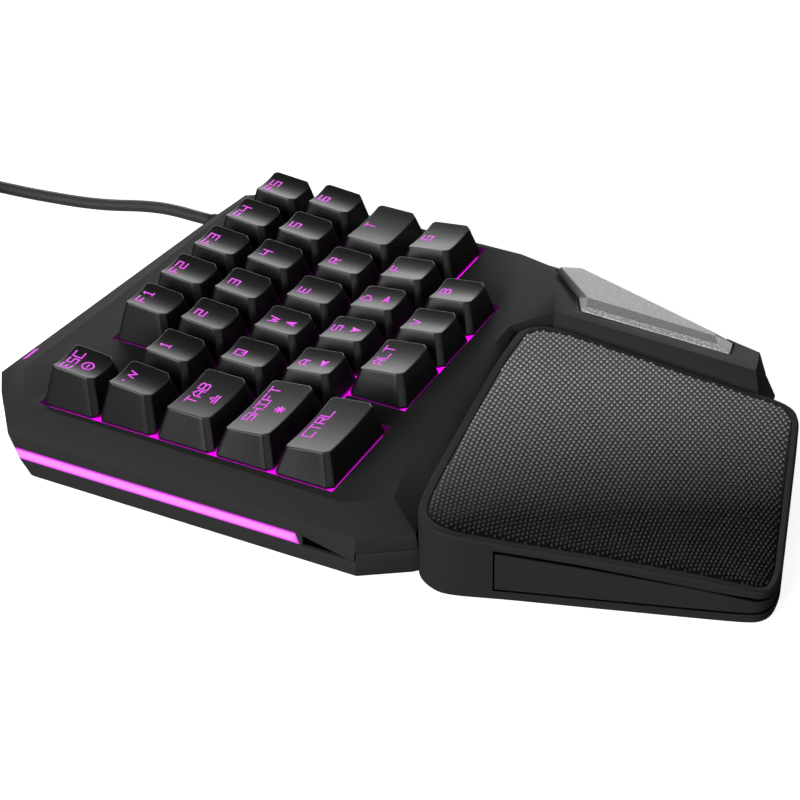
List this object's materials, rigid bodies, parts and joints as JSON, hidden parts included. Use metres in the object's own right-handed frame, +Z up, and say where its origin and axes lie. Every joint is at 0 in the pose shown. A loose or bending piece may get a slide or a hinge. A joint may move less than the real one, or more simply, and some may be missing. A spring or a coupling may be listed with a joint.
{
  "type": "gaming keypad",
  "caption": "Left-hand gaming keypad with backlit sculpted keys, a silver thumb key on an arm, a padded palm rest and a braided USB cord.",
  "frame": {"origin": "middle of the keypad's own underside, at the level of its feet", "axes": "+X to the right along the key rows, +Y away from the user, +Z up"},
  "size_m": [0.1564, 0.3802, 0.0306],
  "materials": {
    "case": "fine-grained dark moulded plastic",
    "lower_case": "fine-grained dark grey moulded plastic",
    "keycap": "satin black keycap with translucent legend",
    "glow": "translucent light guide, lit magenta",
    "silver": "silver metallic paint on plastic",
    "pad": "soft moulded rubber with a fine staggered texture",
    "foot_rubber": "matte black rubber",
    "dome": "translucent silicone rubber",
    "film": "clear printed film",
    "steel": "bright plated steel",
    "board": "green circuit board",
    "braid": "black braided nylon sleeve",
    "plug": "black moulded plug body"
  },
  "bodies": {
    "case": {"top_case": "case", "bottom_case": "lower_case", "key_plate": "glow", "dome_sheet": "dome", "membrane_sheet": "film", "back_plate": "steel", "controller_board": "board", "light_strip": "glow", "corner_light": "glow", "thumb_switch_board": "board", "thumb_dome": "dome", "palm_cover": "case", "palm_side_panel": "case", "palm_carrier": "lower_case", "palm_pad": "pad", "case_screw_1": "steel", "case_screw_2": "steel", "case_screw_3": "steel", "case_screw_4": "steel", "palm_screw": "steel", "foot_far_left": "foot_rubber", "foot_far_right": "foot_rubber", "foot_near_left": "foot_rubber", "foot_near_right": "foot_rubber", "cable_gland": "foot_rubber", "cable": "braid", "cable_coil": "braid", "coil_tie": "foot_rubber", "plug_body": "plug", "plug_shell": "steel"},
    "ctrl": {"key_ctrl": "keycap"},
    "alt": {"key_alt": "keycap"},
    "v": {"key_v": "keycap"},
    "b": {"key_b": "keycap"},
    "shift": {"key_shift": "keycap"},
    "a": {"key_a": "keycap"},
    "s": {"key_s": "keycap"},
    "d": {"key_d": "keycap"},
    "f": {"key_f": "keycap"},
    "g": {"key_g": "keycap"},
    "tab": {"key_tab": "keycap"},
    "q": {"key_q": "keycap"},
    "w": {"key_w": "keycap"},
    "e": {"key_e": "keycap"},
    "r": {"key_r": "keycap"},
    "t": {"key_t": "keycap"},
    "mark": {"key_mark": "keycap"},
    "1": {"key_1": "keycap"},
    "2": {"key_2": "keycap"},
    "3": {"key_3": "keycap"},
    "4": {"key_4": "keycap"},
    "5": {"key_5": "keycap"},
    "6": {"key_6": "keycap"},
    "esc": {"key_esc": "keycap"},
    "f1": {"key_f1": "keycap"},
    "f2": {"key_f2": "keycap"},
    "f3": {"key_f3": "keycap"},
    "f4": {"key_f4": "keycap"},
    "f5": {"key_f5": "keycap"},
    "thumb": {"thumb_key": "silver"}
  },
  "joints": [
    {"name": "ctrl_press", "type": "slide", "parent": "case", "child": "ctrl", "axis": [0, 0, -1], "range_m": [0, 0.0035], "stiffness_N_per_m": 160, "springref_m": -0.001, "deforming": ["dome_sheet"]},
    {"name": "alt_press", "type": "slide", "parent": "case", "child": "alt", "axis": [0, 0, -1], "range_m": [0, 0.0035], "stiffness_N_per_m": 160, "springref_m": -0.001, "deforming": ["dome_sheet"]},
    {"name": "v_press", "type": "slide", "parent": "case", "child": "v", "axis": [0, 0, -1], "range_m": [0, 0.0035], "stiffness_N_per_m": 160, "springref_m": -0.001, "deforming": ["dome_sheet"]},
    {"name": "b_press", "type": "slide", "parent": "case", "child": "b", "axis": [0, 0, -1], "range_m": [0, 0.0035], "stiffness_N_per_m": 160, "springref_m": -0.001, "deforming": ["dome_sheet"]},
    {"name": "shift_press", "type": "slide", "parent": "case", "child": "shift", "axis": [0, 0, -1], "range_m": [0, 0.0035], "stiffness_N_per_m": 160, "springref_m": -0.001, "deforming": ["dome_sheet"]},
    {"name": "a_press", "type": "slide", "parent": "case", "child": "a", "axis": [0, 0, -1], "range_m": [0, 0.0035], "stiffness_N_per_m": 160, "springref_m": -0.001, "deforming": ["dome_sheet"]},
    {"name": "s_press", "type": "slide", "parent": "case", "child": "s", "axis": [0, 0, -1], "range_m": [0, 0.0035], "stiffness_N_per_m": 160, "springref_m": -0.001, "deforming": ["dome_sheet"]},
    {"name": "d_press", "type": "slide", "parent": "case", "child": "d", "axis": [0, 0, -1], "range_m": [0, 0.0035], "stiffness_N_per_m": 160, "springref_m": -0.001, "deforming": ["dome_sheet"]},
    {"name": "f_press", "type": "slide", "parent": "case", "child": "f", "axis": [0, 0, -1], "range_m": [0, 0.0035], "stiffness_N_per_m": 160, "springref_m": -0.001, "deforming": ["dome_sheet"]},
    {"name": "g_press", "type": "slide", "parent": "case", "child": "g", "axis": [0, 0, -1], "range_m": [0, 0.0035], "stiffness_N_per_m": 160, "springref_m": -0.001, "deforming": ["dome_sheet"]},
    {"name": "tab_press", "type": "slide", "parent": "case", "child": "tab", "axis": [0, 0, -1], "range_m": [0, 0.0035], "stiffness_N_per_m": 160, "springref_m": -0.001, "deforming": ["dome_sheet"]},
    {"name": "q_press", "type": "slide", "parent": "case", "child": "q", "axis": [0, 0, -1], "range_m": [0, 0.0035], "stiffness_N_per_m": 160, "springref_m": -0.001, "deforming": ["dome_sheet"]},
    {"name": "w_press", "type": "slide", "parent": "case", "child": "w", "axis": [0, 0, -1], "range_m": [0, 0.0035], "stiffness_N_per_m": 160, "springref_m": -0.001, "deforming": ["dome_sheet"]},
    {"name": "e_press", "type": "slide", "parent": "case", "child": "e", "axis": [0, 0, -1], "range_m": [0, 0.0035], "stiffness_N_per_m": 160, "springref_m": -0.001, "deforming": ["dome_sheet"]},
    {"name": "r_press", "type": "slide", "parent": "case", "child": "r", "axis": [0, 0, -1], "range_m": [0, 0.0035], "stiffness_N_per_m": 160, "springref_m": -0.001, "deforming": ["dome_sheet"]},
    {"name": "t_press", "type": "slide", "parent": "case", "child": "t", "axis": [0, 0, -1], "range_m": [0, 0.0035], "stiffness_N_per_m": 160, "springref_m": -0.001, "deforming": ["dome_sheet"]},
    {"name": "mark_press", "type": "slide", "parent": "case", "child": "mark", "axis": [0, 0, -1], "range_m": [0, 0.0035], "stiffness_N_per_m": 160, "springref_m": -0.001, "deforming": ["dome_sheet"]},
    {"name": "1_press", "type": "slide", "parent": "case", "child": "1", "axis": [0, 0, -1], "range_m": [0, 0.0035], "stiffness_N_per_m": 160, "springref_m": -0.001, "deforming": ["dome_sheet"]},
    {"name": "2_press", "type": "slide", "parent": "case", "child": "2", "axis": [0, 0, -1], "range_m": [0, 0.0035], "stiffness_N_per_m": 160, "springref_m": -0.001, "deforming": ["dome_sheet"]},
    {"name": "3_press", "type": "slide", "parent": "case", "child": "3", "axis": [0, 0, -1], "range_m": [0, 0.0035], "stiffness_N_per_m": 160, "springref_m": -0.001, "deforming": ["dome_sheet"]},
    {"name": "4_press", "type": "slide", "parent": "case", "child": "4", "axis": [0, 0, -1], "range_m": [0, 0.0035], "stiffness_N_per_m": 160, "springref_m": -0.001, "deforming": ["dome_sheet"]},
    {"name": "5_press", "type": "slide", "parent": "case", "child": "5", "axis": [0, 0, -1], "range_m": [0, 0.0035], "stiffness_N_per_m": 160, "springref_m": -0.001, "deforming": ["dome_sheet"]},
    {"name": "6_press", "type": "slide", "parent": "case", "child": "6", "axis": [0, 0, -1], "range_m": [0, 0.0035], "stiffness_N_per_m": 160, "springref_m": -0.001, "deforming": ["dome_sheet"]},
    {"name": "esc_press", "type": "slide", "parent": "case", "child": "esc", "axis": [0, 0, -1], "range_m": [0, 0.0035], "stiffness_N_per_m": 160, "springref_m": -0.001, "deforming": ["dome_sheet"]},
    {"name": "f1_press", "type": "slide", "parent": "case", "child": "f1", "axis": [0, 0, -1], "range_m": [0, 0.0035], "stiffness_N_per_m": 160, "springref_m": -0.001, "deforming": ["dome_sheet"]},
    {"name": "f2_press", "type": "slide", "parent": "case", "child": "f2", "axis": [0, 0, -1], "range_m": [0, 0.0035], "stiffness_N_per_m": 160, "springref_m": -0.001, "deforming": ["dome_sheet"]},
    {"name": "f3_press", "type": "slide", "parent": "case", "child": "f3", "axis": [0, 0, -1], "range_m": [0, 0.0035], "stiffness_N_per_m": 160, "springref_m": -0.001, "deforming": ["dome_sheet"]},
    {"name": "f4_press", "type": "slide", "parent": "case", "child": "f4", "axis": [0, 0, -1], "range_m": [0, 0.0035], "stiffness_N_per_m": 160, "springref_m": -0.001, "deforming": ["dome_sheet"]},
    {"name": "f5_press", "type": "slide", "parent": "case", "child": "f5", "axis": [0, 0, -1], "range_m": [0, 0.0035], "stiffness_N_per_m": 160, "springref_m": -0.001, "deforming": ["dome_sheet"]},
    {"name": "thumb_press", "type": "slide", "parent": "case", "child": "thumb", "axis": [0, 0, -1], "range_m": [0, 0.002], "stiffness_N_per_m": 300, "springref_m": -0.001, "deforming": ["thumb_dome"]}
  ]
}
